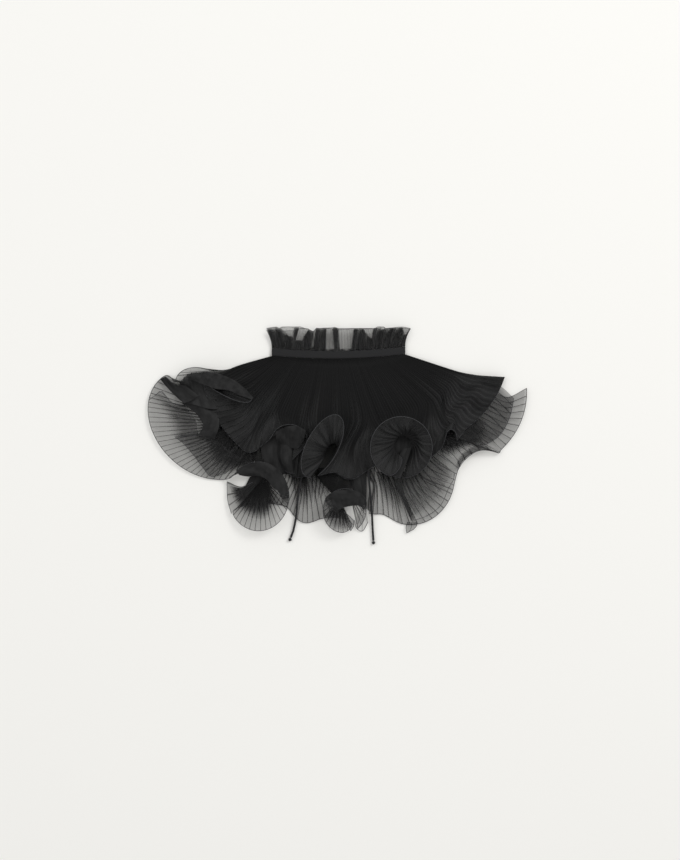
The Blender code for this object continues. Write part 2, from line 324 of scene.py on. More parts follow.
@dataclass(frozen=True)
class WovenCloth:
    """A closely woven opaque cloth: matte, with a faint grain of threads."""

    name: str
    colour: str
    light_colour: str
    roughness: float
    sheen: float
    grain_mm: float
    specular: float = 0.25
    grain_bump: float = 0.35
    grain_depth_mm: float = 0.3
    thread_stretch: tuple[float, float, float] = (1.0, 3.0, 1.0)

    def material(self) -> bpy.types.Material:
        """Make the material.

        Returns:
            The cloth with its grain in colour and bump.
        """
        made = bpy.data.materials.new(self.name)
        made.use_nodes = True
        tree = made.node_tree
        shader = tree.nodes["Principled BSDF"]
        place = add_node(tree, "ShaderNodeTexCoord")
        stretched = add_node(
            tree,
            "ShaderNodeMapping",
            {"Scale": self.thread_stretch},
            {"Vector": place.outputs["Object"]},
        )
        grain = add_node(
            tree,
            "ShaderNodeTexNoise",
            {"Scale": 1.0 / (self.grain_mm * MM), "Detail": 4.0, "Roughness": 0.65},
            {"Vector": stretched.outputs[0]},
        )
        colour = add_node(
            tree,
            "ShaderNodeMix",
            {6: srgb(self.colour), 7: srgb(self.light_colour)},
            {0: grain.outputs["Fac"]},
            data_type="RGBA",
        )
        bump = add_node(
            tree,
            "ShaderNodeBump",
            {"Strength": self.grain_bump, "Distance": self.grain_depth_mm * MM},
            {"Height": grain.outputs["Fac"]},
        )
        shader.inputs["Roughness"].default_value = self.roughness
        shader.inputs["Specular IOR Level"].default_value = self.specular
        shader.inputs["Sheen Weight"].default_value = self.sheen
        tree.links.new(colour.outputs[2], shader.inputs["Base Color"])
        tree.links.new(bump.outputs[0], shader.inputs["Normal"])
        return made


# Satin cord: filament threads laid side by side, which give the tie a narrow soft sheen.
TIE_CORD = WovenCloth(
    "black_satin_cord", "121213", "222224", roughness=0.45, sheen=0.15, grain_mm=0.8
)
# Rolled organza, oversewn: layers and thread on each other hide what is behind and look greyer.
ROLLED_ORGANZA = WovenCloth(
    "black_rolled_hem", "2C2C2E", "3D3D3F", roughness=0.6, sheen=0.1, grain_mm=0.6
)
# Plain woven band cloth, closely set: dull, with next to no sheen.
BAND_CLOTH = WovenCloth(
    "black_band_cloth", "161617", "202021", roughness=0.75, sheen=0.1, grain_mm=0.7
)


def smooth_point(
    before: Vector, after: Vector, pull_out: Vector, pull_in: Vector, share: float
) -> Vector:
    """A point of the smooth curve from one point to the next.

    Args:
        before: the curve's start.
        after: the curve's end.
        pull_out: its direction and speed at the start.
        pull_in: its direction and speed at the end.
        share: 0 at the start and 1 at the end.

    Returns:
        The point.
    """
    s2 = share * share
    s3 = s2 * share
    return (
        before * (2 * s3 - 3 * s2 + 1)
        + pull_out * (s3 - 2 * s2 + share)
        + after * (3 * s2 - 2 * s3)
        + pull_in * (s3 - s2)
    )


def along_line(points: list[Vector], place: float) -> Vector:
    """A point of the smooth curve through evenly counted points.

    Args:
        points: what the curve goes through.
        place: which point, counted from 0, with a fraction.

    Returns:
        The point.
    """
    place = min(max(place, 0.0), len(points) - 1.0)
    k = min(int(place), len(points) - 2)
    start, end = points[k], points[k + 1]
    before = points[k - 1] if k else start * 2.0 - end
    after = points[k + 2] if k + 2 < len(points) else end * 2.0 - start
    return smooth_point(start, end, (end - before) * 0.5, (after - start) * 0.5, place - k)


def smooth_line(line: list[Vector], rounds: int) -> None:
    """Average each inner point with its neighbours.

    Args:
        line: the points, changed in place.
        rounds: how often.
    """
    for _ in range(rounds):
        old = list(line)
        for k in range(1, len(line) - 1):
            line[k] = old[k] * 0.5 + (old[k - 1] + old[k + 1]) * 0.25


def even_points(corners: tuple, count: int) -> list[Vector]:
    """Points at even steps along a line through corners, which come out rounded.

    Args:
        corners: (x, y) of each corner.
        count: how many points.

    Returns:
        The points, at height 0.
    """
    ends = [Vector((x, y, 0.0)) for x, y in corners]
    lengths = [(b - a).length for a, b in zip(ends, ends[1:])]
    step = sum(lengths) / (count - 1)
    points = []
    for k in range(count):
        left = min(step * k, sum(lengths))
        index = 0
        while index < len(lengths) - 1 and left > lengths[index]:
            left -= lengths[index]
            index += 1
        points.append(ends[index].lerp(ends[index + 1], left / lengths[index]))
    smooth_line(points, rounds=count // 2)
    return points


def round_curve(
    name: str, points: list[Vector], radius: float, roundness: int, finish: bpy.types.Material
) -> bpy.types.Object:
    """Make a round cord along a line, closed at both ends.

    Args:
        name: the object's name.
        points: its centre line, in millimetres.
        radius: in millimetres.
        roundness: how finely its section is rounded.
        finish: its material.

    Returns:
        The curve, in the scene.
    """
    curve = bpy.data.curves.new(name, "CURVE")
    curve.dimensions = "3D"
    curve.bevel_depth = radius * MM
    curve.bevel_resolution = roundness
    curve.use_fill_caps = True
    line = curve.splines.new("POLY")
    line.points.add(len(points) - 1)
    for target, point in zip(line.points, points):
        target.co = (*(point * MM), 1.0)
    curve.materials.append(finish)
    piece = bpy.data.objects.new(name, curve)
    bpy.context.scene.collection.objects.link(piece)
    LOG.info("%s: %d points", name, len(points))
    return piece


def place_piece(
    mesh: bmesh.types.BMesh, name: str, finish: bpy.types.Material, slot: Slot, *nodes: str
) -> bpy.types.Object:
    """Turn a finished bmesh into a piece that rides on the collar.

    Args:
        mesh: the shape, in metres, which is freed.
        name: the piece's name.
        finish: its material.
        slot: not used.
        nodes: the solids that it stands for.

    Returns:
        The new object.
    """
    data = bpy.data.meshes.new(name)
    mesh.to_mesh(data)
    mesh.free()
    data.materials.append(finish)
    data.shade_smooth()
    piece = bpy.data.objects.new(name, data)
    bpy.context.scene.collection.objects.link(piece)
    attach(piece, "root")
    if nodes:
        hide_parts(*nodes)
    LOG.info("%s: %d faces", name, len(data.polygons))
    return piece


def thicken(piece: bpy.types.Object, thickness: float) -> None:
    """Give a sheet its thickness below its surface.

    Args:
        piece: the sheet.
        thickness: in millimetres.
    """
    wall = piece.modifiers.new("cloth_thickness", "SOLIDIFY")
    wall.thickness = thickness * MM
    wall.offset = -1.0
    wall.use_even_offset = False


@dataclass(frozen=True)
class Neck:
    """The neck line, which the frill, the band and both layers of the cape share."""

    half_width: float = 88.0
    top: float = 109.0
    sag: float = 5.0
    side_rise: float = 1.0
    band_height: float = 10.0

    def point(self, share: float) -> Vector:
        """A point of the band's upper edge.

        Args:
            share: 0 at the edge's left end and 1 at its right.

        Returns:
            The point, at height 0.
        """
        across = 2.0 * share - 1.0
        y = self.top - self.sag * (1.0 - across * across) + self.side_rise * across
        return Vector((self.half_width * across, y, 0.0))


NECK = Neck()


@dataclass(frozen=True)
class Bend:
    """A bend of the hem: an arc of an ellipse, clockwise in a flute, anticlockwise in a scallop.

    Its pleats are drawn together at a throat, a smaller ellipse, and rise to the hem's height.
    The bridge is how many pleats lead on to the next bend, and the heights are the hem's at the
    bend's start, middle and end. The throat has its own size and turn against the hem's, and
    leans up towards the neck. The curl is the size at the start, where a spiral winds inwards.
    """

    name: str
    pleats: int
    bridge: int
    centre: tuple[float, float]
    radii: tuple[float, float]
    tilt: float
    angles: tuple[float, float]
    heights: tuple[float, float, float]
    throat: tuple[float, float, float]
    throat_share: float
    throat_turn: float
    throat_lean: float
    curl: float = 1.0
    curl_share: float = 0.1

    def arm(self, angle: float) -> Vector:
        """From the centre to the arc.

        Args:
            angle: in degrees, measured from the long radius.

        Returns:
            The arm, level, in millimetres.
        """
        long, short = self.radii
        along = long * math.cos(math.radians(angle))
        across = short * math.sin(math.radians(angle))
        return Matrix.Rotation(math.radians(self.tilt), 3, "Z") @ Vector((along, across, 0.0))

    def curled(self, share: float) -> float:
        """Size of the arc against its full size, where its start curls inwards."""
        opened = min(1.0, share / self.curl_share)
        return self.curl + (1.0 - self.curl) * opened * opened * (3.0 - 2.0 * opened)

    def frame(self, share: float, toward_neck: Vector) -> tuple[Vector, Vector]:
        """The hem point and throat point of one pleat.

        Args:
            share: 0 at the bend's start and 1 at its end.
            toward_neck: the direction in which the throat leans up.

        Returns:
            Hem point and throat point.
        """
        start, end = self.angles
        half = (end - start) / 2.0
        middle = start + half
        turned = (2.0 * share - 1.0) * half
        throat_arm = self.arm(middle + turned * self.throat_turn)
        first, highest, last = self.heights
        z = (
            first * (1.0 - share) * (1.0 - 2.0 * share)
            + highest * 4.0 * share * (1.0 - share)
            + last * share * (2.0 * share - 1.0)
        )
        hem = Vector((*self.centre, z)) + self.arm(middle + turned) * self.curled(share)
        x, y, height = self.throat
        leaning = self.throat_lean * throat_arm.dot(toward_neck) / max(self.radii)
        throat = Vector((x, y, height + leaning)) + throat_arm * self.throat_share
        return hem, throat


@dataclass
class PleatedSheet:
    """Builds a pleated sheet from the columns of points of its plain surface.

    A broad pleat is made of a few fine ones. Closely gathered cloth shows its broad pleats, and
    open cloth shows its fine ones. Each rise is the height that such a pleat may reach, and no
    pleat is higher than a share of its own width. Broad pleats flatten as they open out and are
    nearly gone at 15 mm. Fine ones grow where the broad pleat is wider than 4 mm.
    """

    name: str
    columns: list[list[Vector]]
    broad_rise: float = 1.25
    fine_rise: float = 0.45
    steps: int = 12
    fine_width: float = 7.2
    fine_cloth: float = 8.0
    most_fine: int = 3
    rise_share: float = 0.3
    rise_turn: float = 0.8
    least_pitch: float = 0.3
    broad_gone: float = 15.0
    broad_fading: float = 7.0
    broad_least: float = 0.2
    fine_from: float = 4.0
    fine_growing: float = 5.0
    least_fold: float = 0.12
    gathered_fold: float = 0.5
    least_layers: float = 1.0
    most_layers: float = 16.0
    density: Callable[[Vector, float, float], float] | None = None

    def fine_counts(self) -> list[int]:
        """How many fine pleats show in each broad one, from its widest part.

        Returns:
            A count for each broad pleat.
        """
        counts = []
        for first in range(0, len(self.columns) - 1, self.steps):
            after = min(first + self.steps, len(self.columns) - 1)
            ends = (0, -1)
            width = max((self.columns[after][j] - self.columns[first][j]).length for j in ends)
            counts.append(min(max(round(width / self.fine_width), 1), self.most_fine))
        return counts

    def normals(self) -> list[list[Vector]]:
        """The upward direction at each point.

        Returns:
            Directions, column by column.
        """
        last = len(self.columns) - 1
        found = []
        for i, column in enumerate(self.columns):
            low = len(column) - 1
            row = []
            for j in range(len(column)):
                across = self.columns[min(i + 1, last)][j] - self.columns[max(i - 1, 0)][j]
                down = column[min(j + 1, low)] - column[max(j - 1, 0)]
                row.append(down.cross(across).normalized())
            found.append(row)
        upward = sum(normal.z for row in found for normal in row)
        return found if upward >= 0.0 else [[-normal for normal in row] for row in found]

    def pitch(self, i: int, j: int) -> float:
        """The width that one broad pleat takes at a point.

        Args:
            i: the point's column.
            j: its place in the column.

        Returns:
            The width in millimetres.
        """
        first = max(0, min(i - self.steps // 2, len(self.columns) - 1 - self.steps))
        after = min(len(self.columns) - 1, first + self.steps)
        width = (self.columns[after][j] - self.columns[first][j]).length
        return max(width * self.steps / (after - first), self.least_pitch)

    def crest(self, phase: float) -> float:
        """Height of a knife pleat against its own: a slow rise, then a steep step down.

        Args:
            phase: the place in the pleat, from 0 to 1.

        Returns:
            The height, from 0 to 1.
        """
        if phase <= self.rise_turn:
            return (1.0 - math.cos(math.pi * phase / self.rise_turn)) / 2.0
        return (1.0 - phase) / (1.0 - self.rise_turn)

    def stand(self, phase: float, pitch: float, fine: int) -> float:
        """How far the pleats lift a point off the plain surface.

        Args:
            phase: the point's place in its broad pleat, from 0 to 1.
            pitch: the broad pleat's width there, in millimetres.
            fine: how many fine pleats it has.

        Returns:
            The height in millimetres.
        """
        closeness = min(max((self.broad_gone - pitch) / self.broad_fading, self.broad_least), 1.0)
        openness = min(max((pitch - self.fine_from) / self.fine_growing, 0.0), 1.0)
        broad = min(self.broad_rise, self.rise_share * pitch) * closeness
        low = min(self.fine_rise, self.rise_share * pitch / fine) * openness
        return broad * self.crest(phase) + low * self.crest(phase * fine % 1.0)

    def mesh(self) -> bmesh.types.BMesh:
        """Bend a flat grid to the sheet.

        Returns:
            The sheet, with the values at each point that the organza reads.
        """
        across = len(self.columns) - 1
        down = len(self.columns[0]) - 1
        sheet = bmesh.new()
        bmesh.ops.create_grid(sheet, x_segments=across, y_segments=down, size=1.0)
        names = ("pleat", "fold", "layers", "down")
        pleat, fold, layers, way = (sheet.verts.layers.float.new(name) for name in names)
        normals = self.normals()
        counts = self.fine_counts()
        before = [sum(counts[:n]) for n in range(len(counts))]
        for vert in sheet.verts:
            i = round((vert.co.x + 1.0) / 2.0 * across)
            j = round((1.0 - vert.co.y) / 2.0 * down)
            broad = min(i // self.steps, len(counts) - 1)
            phase = i / self.steps - broad
            pitch = self.pitch(i, j)
            point = self.columns[i][j]
            vert.co = (point + normals[i][j] * self.stand(phase, pitch, counts[broad])) * MM
            width = pitch / counts[broad]
            share = (self.fine_cloth - width) / ((FOLDED_LAYERS - 1.0) * width)
            vert[fold] = min(max(share, self.least_fold), 1.0)
            crowd = max(1.0, self.fine_cloth / (FOLDED_LAYERS * width))
            vert[layers] = min(max(crowd, self.least_layers), self.most_layers)
            if self.density:
                vert[layers] = self.density(point, i / across, j / down)
                vert[fold] = min(vert[fold], self.gathered_fold)
            vert[pleat] = before[broad] + phase * counts[broad]
            vert[way] = j / down
        return sheet


@dataclass(frozen=True)
class Fade:
    """The share of a loose fold that thins out at each of its sides."""

    gathered: float = 0.0
    hem: float = 0.0
    first: float = 0.0
    last: float = 0.0


@dataclass(frozen=True)
class LooseFold:
    """Where the cloth of a lobe folds back on itself, so that a second hem shows through it.

    Its ribs are pleat lines from the gathered side to the hem, each of as many points. It is a
    single sheet that stands for both faces of the folded cloth. A fold that lies over the layer
    is raised clear of all that is within its reach below it.
    """

    name: str
    pleats: int
    layers: float
    ribs: tuple
    hemmed: tuple[Side, ...] = ()
    over: bool = False
    fade: Fade = Fade()
    rows: int = 12
    faces: float = 2.0
    clearance: float = 2.6
    reach: float = 5.0
    smoothing_down: int = 2
    smoothing_across: int = 4
    broad_rise: float = 0.3
    fine_rise: float = 0.15
    hem_radius: float = 0.36

    def lifted(
        self, columns: list[list[Vector]], below: list[list[Vector]]
    ) -> list[list[Vector]]:
        """Raise a fold's columns until they lie over the layer below them.

        Args:
            columns: the fold's points.
            below: the points of all that lies under the fold.

        Returns:
            The raised columns.
        """
        points = [point for column in below for point in column]
        tree = kdtree.KDTree(len(points))
        for k, point in enumerate(points):
            tree.insert((point.x, point.y, 0.0), k)
        tree.balance()
        heights = []
        for column in columns:
            line = []
            for point in column:
                near = tree.find_range((point.x, point.y, 0.0), self.reach)
                top = max((points[k].z for _, k, _ in near), default=0.0)
                line.append(Vector((0.0, 0.0, max(point.z, top + self.clearance))))
            smooth_line(line, self.smoothing_down)
            heights.append(line)
        for j in range(len(columns[0])):
            line = [row[j] for row in heights]
            smooth_line(line, self.smoothing_across)
            for k, height in enumerate(line):
                heights[k][j] = height
        return [
            [Vector((point.x, point.y, up.z)) for point, up in zip(column, line)]
            for column, line in zip(columns, heights)
        ]

    def columns(self, below: list[list[Vector]]) -> list[list[Vector]]:
        """Columns of points from rib to rib, over the layer if the fold lies on it.

        Args:
            below: the points of all that lies under the fold.

        Returns:
            The fold's columns.
        """
        ribs = [[Vector(point) for point in rib] for rib in self.ribs]
        last = len(ribs[0]) - 1
        count = self.pleats * PleatedSheet.steps
        made = []
        for k in range(count + 1):
            place = (len(ribs) - 1) * k / count
            stops = [along_line([rib[n] for rib in ribs], place) for n in range(last + 1)]
            made.append([along_line(stops, last * j / self.rows) for j in range(self.rows + 1)])
        return self.lifted(made, below) if self.over else made

    def thickness(self, point: Vector, across: float, down: float) -> float:
        """Thicknesses of cloth at a point, which go to none where the fold fades out.

        Args:
            point: not used.
            across: 0 at the first rib and 1 at the last.
            down: 0 at the gathered side and 1 at the hem.

        Returns:
            The count of layers.
        """
        share = 1.0
        for width, place in (
            (self.fade.gathered, down),
            (self.fade.hem, 1.0 - down),
            (self.fade.first, across),
            (self.fade.last, 1.0 - across),
        ):
            if place < width:
                share *= place / width
        return self.faces * self.layers * share * share * (3.0 - 2.0 * share)

    def build(
        self,
        columns: list[list[Vector]],
        organza: bpy.types.Material,
        edge: bpy.types.Material,
    ) -> list[bpy.types.Object]:
        """Make the fold and the hem on it.

        Args:
            columns: the fold's points.
            organza: the fold's finish.
            edge: the finish of its hem.

        Returns:
            The pieces.
        """
        rises = (self.broad_rise, self.fine_rise)
        sheet = PleatedSheet(self.name, columns, *rises, density=self.thickness)
        piece = place_piece(sheet.mesh(), self.name, organza, Slot.ORGANZA)
        line: list[Vector] = []
        if Side.FIRST_RIB in self.hemmed:
            line += columns[0]
        if Side.HEM in self.hemmed:
            line += [column[-1] for column in columns]
        if Side.LAST_RIB in self.hemmed:
            line += reversed(columns[-1])
        if not line:
            return [piece]
        return [piece, RolledHem(f"{self.name}_hem", line, self.hem_radius).build(edge)]


@dataclass
class CapeLayer:
    """One pleated layer of the cape, from the band to its fluted hem.

    Its pleats run from the neck over a waist line and a throat line to the hem, with the rows
    counted on each of these three legs. Waves make the pleats swing sideways towards its end.
    """

    name: str
    bends: tuple[Bend, ...]
    waist: tuple
    neck_from: float
    neck_to: float
    lift: Callable[[float], float]
    nodes: tuple[str, ...]
    coarse_per_pleat: int = 2
    bridge_pull: float = 0.6
    hem_smoothing: int = 2
    pleat_rounding: float = 0.45
    top: float = 1.1
    thickness: float = 0.3
    rows: tuple[int, ...] = (7, 12, 18)
    waves: float = 0.0
    waves_from: float = 1.0
    waves_grow: float = 0.08
    waves_end: float = 0.05
    wave_pace: float = 12.0
    least_layers: float = 1.0
    folds: tuple[LooseFold, ...] = ()

    def hem_lines(self) -> tuple[list[Vector], list[Vector]]:
        """The throat and hem point of each coarse column, from left to right.

        Returns:
            Throat points and hem points.
        """
        total = sum(bend.pleats + bend.bridge for bend in self.bends)
        done = 0
        arcs = []
        for bend in self.bends:
            share = (done + 0.5 * bend.pleats) / total
            middle = self.neck_from + (self.neck_to - self.neck_from) * share
            away = NECK.point(middle) - Vector((*bend.throat[:2], 0.0))
            steps = bend.pleats * self.coarse_per_pleat
            arcs.append([bend.frame(k / steps, away.normalized()) for k in range(steps + 1)])
            done += bend.pleats + bend.bridge
        throats: list[Vector] = []
        hems: list[Vector] = []
        for index, bend in enumerate(self.bends):
            points = arcs[index]
            hems.extend(hem for hem, _ in points)
            throats.extend(throat for _, throat in points)
            if not bend.bridge:
                continue
            following = arcs[index + 1]
            steps = bend.bridge * self.coarse_per_pleat
            for line, which in ((hems, 0), (throats, 1)):
                before, after = points[-1][which], following[0][which]
                reach = self.bridge_pull * (after - before).length
                pull_out = (before - points[-2][which]).normalized() * reach
                pull_in = (following[1][which] - after).normalized() * reach
                line.extend(
                    smooth_point(before, after, pull_out, pull_in, k / steps)
                    for k in range(1, steps)
                )
        smooth_line(throats, self.hem_smoothing)
        smooth_line(hems, self.hem_smoothing)
        return throats, hems

    def pleat_line(self, stops: list[Vector]) -> list[Vector]:
        """The points of one pleat.

        Args:
            stops: its points at the neck, waist, throat and hem.

        Returns:
            The points of the smooth line through them.
        """
        legs = [b - a for a, b in zip(stops, stops[1:])]
        pulls = [legs[0]]
        for before, after in zip(legs, legs[1:]):
            bisector = before.normalized() + after.normalized()
            pulls.append(bisector * self.pleat_rounding * min(before.length, after.length))
        pulls.append(legs[2])
        pulls[1].z = 0.0
        points = []
        for k, count in enumerate(self.rows):
            last = count if k == len(self.rows) - 1 else count - 1
            points += [
                smooth_point(stops[k], stops[k + 1], pulls[k], pulls[k + 1], n / count)
                for n in range(last + 1)
            ]
        return points

    def wave(self, share: float, down: float) -> float:
        """How far a pleat swings sideways.

        Args:
            share: the pleat's place along the neck, from 0 to 1.
            down: 0 at the neck and 1 at the hem.

        Returns:
            The swing in millimetres.
        """
        if share < self.waves_from:
            return 0.0
        growing = (share - self.waves_from) / self.waves_grow
        strength = min(1.0, growing, (1.0 - share) / self.waves_end)
        swing = math.sin(math.pi * down) * math.sin(self.wave_pace * down)
        return self.waves * strength * swing

    def columns(self) -> list[list[Vector]]:
        """Lay the plain surface of the layer.

        Returns:
            Columns of points, from the neck down.
        """
        throats, hems = self.hem_lines()
        count = len(hems)
        waists = even_points(self.waist, count)
        pleats = (count - 1) // self.coarse_per_pleat
        up = Vector((0.0, 0.0, self.top))
        made = []
        steps = PleatedSheet.steps
        for k in range(pleats * steps + 1):
            place = k / steps * self.coarse_per_pleat
            across = place / (count - 1)
            share = self.neck_from + (self.neck_to - self.neck_from) * across
            height = Vector((0.0, 0.0, self.lift(share)))
            drop = Vector((0.0, NECK.band_height + SEAM_GAP, 0.0))
            stops = [
                NECK.point(share) - drop + height + up,
                along_line(waists, place) + height + up,
                along_line(throats, place) + up,
                along_line(hems, place) + up,
            ]
            points = self.pleat_line(stops)
            side = (stops[1] - stops[0]).cross(Vector((0.0, 0.0, 1.0))).normalized()
            low = len(points) - 1
            made.append([p - side * self.wave(share, j / low) for j, p in enumerate(points)])
        return made

    def build(self, organza: bpy.types.Material, edge: bpy.types.Material) -> None:
        """Make the layer with its rolled hem and its loose folds.

        Args:
            organza: the layer's finish.
            edge: the finish of its hems.
        """
        columns = self.columns()
        mesh = PleatedSheet(self.name, columns, least_layers=self.least_layers).mesh()
        piece = place_piece(mesh, self.name, organza, Slot.ORGANZA, *self.nodes)
        thicken(piece, self.thickness)
        LOG.info("%s bends: %s", self.name, ", ".join(bend.name for bend in self.bends))
        hem = RolledHem(f"{self.name}_hem", [column[-1] for column in columns])
        trims = [hem.build(edge)]
        below = list(columns)
        for fold in self.folds:
            lying = fold.columns(below)
            trims += fold.build(lying, organza, edge)
            below += lying
        declare_sheet(columns)


@dataclass
class RolledHem:
    """A hem rolled and oversewn: a fine dark cord of cloth along the edge."""

    name: str
    points: list[Vector]
    radius: float = 0.42
    roundness: int = 1

    def build(self, finish: bpy.types.Material) -> bpy.types.Object:
        """Make the hem as a closed tube.

        Args:
            finish: its material.

        Returns:
            The tube.
        """
        piece = round_curve(self.name, self.points, self.radius, self.roundness, finish)
        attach(piece, "root")
        return piece


def declare_sheet(
    columns: list[list[Vector]]
) -> None:
    """Work out the size that a cloth piece's pressed pleats give it; the result is not kept.

    Args:
        columns: the points of its plain surface, in millimetres.
    """
    area = 0.0
    for left, right in zip(columns, columns[1:]):
        for a, b, c, d in zip(left, left[1:], right, right[1:]):
            area += ((b - a).cross(c - a).length + (b - d).cross(c - d).length) / 2.0
    hem = sum((b[-1] - a[-1]).length for a, b in zip(columns, columns[1:]))
    middle = columns[len(columns) // 2]
    length = sum((b - a).length for a, b in zip(middle, middle[1:]))
    cut = area * MM * MM
    wide = max(hem * MM, cut / (length * MM))
    share = cut / (wide * length * MM)
    if share < LEAST_CUT_SHARE:
        wide *= share / LEAST_CUT_SHARE


def front_lift(share: float) -> float:
    """Height of the front layer's underside, which bulges over the ties."""
    return FRONT_LIFT + FRONT_BULGE * (1.0 - (2.0 * share - 1.0) ** 2)


def back_lift(share: float) -> float:
    """The back layer lies on the surface."""
    return 0.0


@dataclass
class NeckBand:
    """The plain band: a folded strip with a soft rounded edge above and below."""

    name: str
    lift: Callable[[float], float]
    wall: float = 1.4
    crown: float = 0.35
    columns: int = 60
    rows: int = 6

    def build(self, cloth: bpy.types.Material) -> None:
        """Make the band.

        Args:
            cloth: its finish.
        """
        strip = bmesh.new()
        bmesh.ops.create_grid(strip, x_segments=self.columns, y_segments=self.rows, size=1.0)
        for vert in strip.verts:
            share = (vert.co.x + 1.0) / 2.0
            down = (1.0 - vert.co.y) / 2.0
            bulge = self.crown * math.sin(math.pi * down) ** 0.5 if 0.0 < down < 1.0 else 0.0
            top = NECK.point(share)
            height = self.lift(share) + self.wall + bulge
            vert.co = Vector((top.x, top.y - NECK.band_height * down, height)) * MM
        piece = place_piece(strip, f"{self.name}_cloth", cloth, Slot.BAND, self.name)
        thicken(piece, self.wall)


# The free edge of each half of the frill, from left to right.
FRILL_FRONT_EDGE = (
    (-95, 131), (-81, 132), (-79, 130), (-58, 131), (-54, 134), (-40, 133), (-33, 129), (-29, 134),
    (-16, 133), (-4, 135), (-1, 132), (22, 133), (40, 133), (49, 134), (55, 132), (70, 134),
    (84, 134), (95, 133),
)
FRILL_BACK_EDGE = (
    (-95, 134), (-82, 136), (-78, 134), (-74, 136), (-50, 136), (-38, 132), (-33, 130), (-29, 134),
    (-4, 135), (1, 134), (33, 134), (49, 134), (51, 136), (60, 136), (62, 134), (84, 136),
    (95, 134),
)
# Each window: left and right side at the free edge, both at its foot, and how low that is.
FRILL_WINDOWS = (
    (-78, -58, -64, -59, 121),
    (-53, -38, -58, -48, 116),
    (-33, -29, -37, -32, 107),
    (-17, -7, -18, -4, 104),
    (-1, 21, 1, 18, 104),
    (31, 47, 42, 45, 119),
    (54, 62, 57, 60, 130),
    (83, 95, 87, 89, 124),
)


@dataclass
class NeckFrill:
    """One half of the gathered frill above the band, as a single sheet.

    Its windows of thinner cloth stand for the gaps between folds, where fewer thicknesses lie on
    each other. A window's sides are soft over a few millimetres, and so is the free edge.
    """

    node: str
    lift: Callable[[float], float]
    spread: float
    phase: float
    edge_line: tuple
    windows: tuple = FRILL_WINDOWS
    flare: float = 7.0
    wall: float = 1.0
    wave: float = 1.3
    waves: int = 16
    pleats: int = 30
    rows: int = 18
    closed: float = 2.6
    open: float = 0.45
    gather_share: float = 0.45
    gather_pace: float = 95.0
    gather_slant: float = 2.0
    soft_edge: float = 1.3
    soft_foot: float = 0.5
    thin_edge: float = 2.6
    broad_rise: float = 0.8
    fine_rise: float = 0.3
    fine_width: float = 2.0
    fine_cloth: float = 2.8
    thickness: float = 0.25
    edge_radius: float = 0.3

    def edge(self, x: float) -> float:
        """Where the free edge runs.

        Args:
            x: the place across, in millimetres.

        Returns:
            The edge's place along Y, in millimetres.
        """
        for (x0, y0), (x1, y1) in zip(self.edge_line, self.edge_line[1:]):
            if x <= x1:
                return y0 + (y1 - y0) * max(0.0, x - x0) / (x1 - x0)
        return self.edge_line[-1][1]

    def column(self, share: float) -> list[Vector]:
        """The points of one column.

        Args:
            share: 0 at the frill's left end and 1 at its right.

        Returns:
            The points from the free edge down to the band.
        """
        foot = NECK.point(share) + Vector((0.0, SEAM_GAP, self.lift(share) + self.wall))
        swing = 2.0 * math.pi * self.waves * share + self.phase
        across = 2.0 * share - 1.0
        height = self.edge(foot.x + self.flare * across) - foot.y
        points = []
        for n in range(self.rows + 1):
            row = 1.0 - n / self.rows
            wave = self.wave * (1.0 - math.cos(swing)) * row
            arm = Vector((self.flare * across * row * row, height * row, wave + self.spread * row))
            points.append(foot + arm)
        return points

    def layers(self, point: Vector, across: float, down: float) -> float:
        """Thicknesses of cloth at a point: few at the edge and in a window, more between.

        Args:
            point: the point.
            across: 0 at the frill's left end and 1 at its right.
            down: 0 at the free edge and 1 at the band.

        Returns:
            The count of layers.
        """
        top = self.edge(point.x)
        inside = (point.y - top + self.thin_edge) / self.thin_edge
        for left, right, low_left, low_right, low in self.windows:
            deep = (top - point.y) / (top - low)
            start = left + (low_left - left) * deep
            end = right + (low_right - right) * deep
            depth = min(point.x - start, end - point.x, (point.y - low) * self.soft_foot)
            inside = max(inside, depth / self.soft_edge)
        share = 1.0 - min(max(inside, 0.0), 1.0)
        turn = across * self.gather_pace + down * self.gather_slant
        gathers = 1.0 + self.gather_share * math.sin(turn)
        return self.open + (self.closed * gathers - self.open) * share

    def build(self, organza: bpy.types.Material, edge: bpy.types.Material) -> None:
        """Make the frill and its stitched edge.

        Args:
            organza: the frill's finish.
            edge: the finish of its edge.
        """
        name = f"{self.node}_gathers"
        count = self.pleats * PleatedSheet.steps
        columns = [self.column(k / count) for k in range(count + 1)]
        sheet = PleatedSheet(
            name,
            columns,
            self.broad_rise,
            self.fine_rise,
            fine_width=self.fine_width,
            fine_cloth=self.fine_cloth,
            density=self.layers,
        )
        piece = place_piece(sheet.mesh(), name, organza, Slot.ORGANZA, self.node)
        thicken(piece, self.thickness)
        free_edge = [column[0] for column in columns]
        rolled = RolledHem(f"{name}_edge", free_edge, self.edge_radius).build(edge)
        declare_sheet(columns)


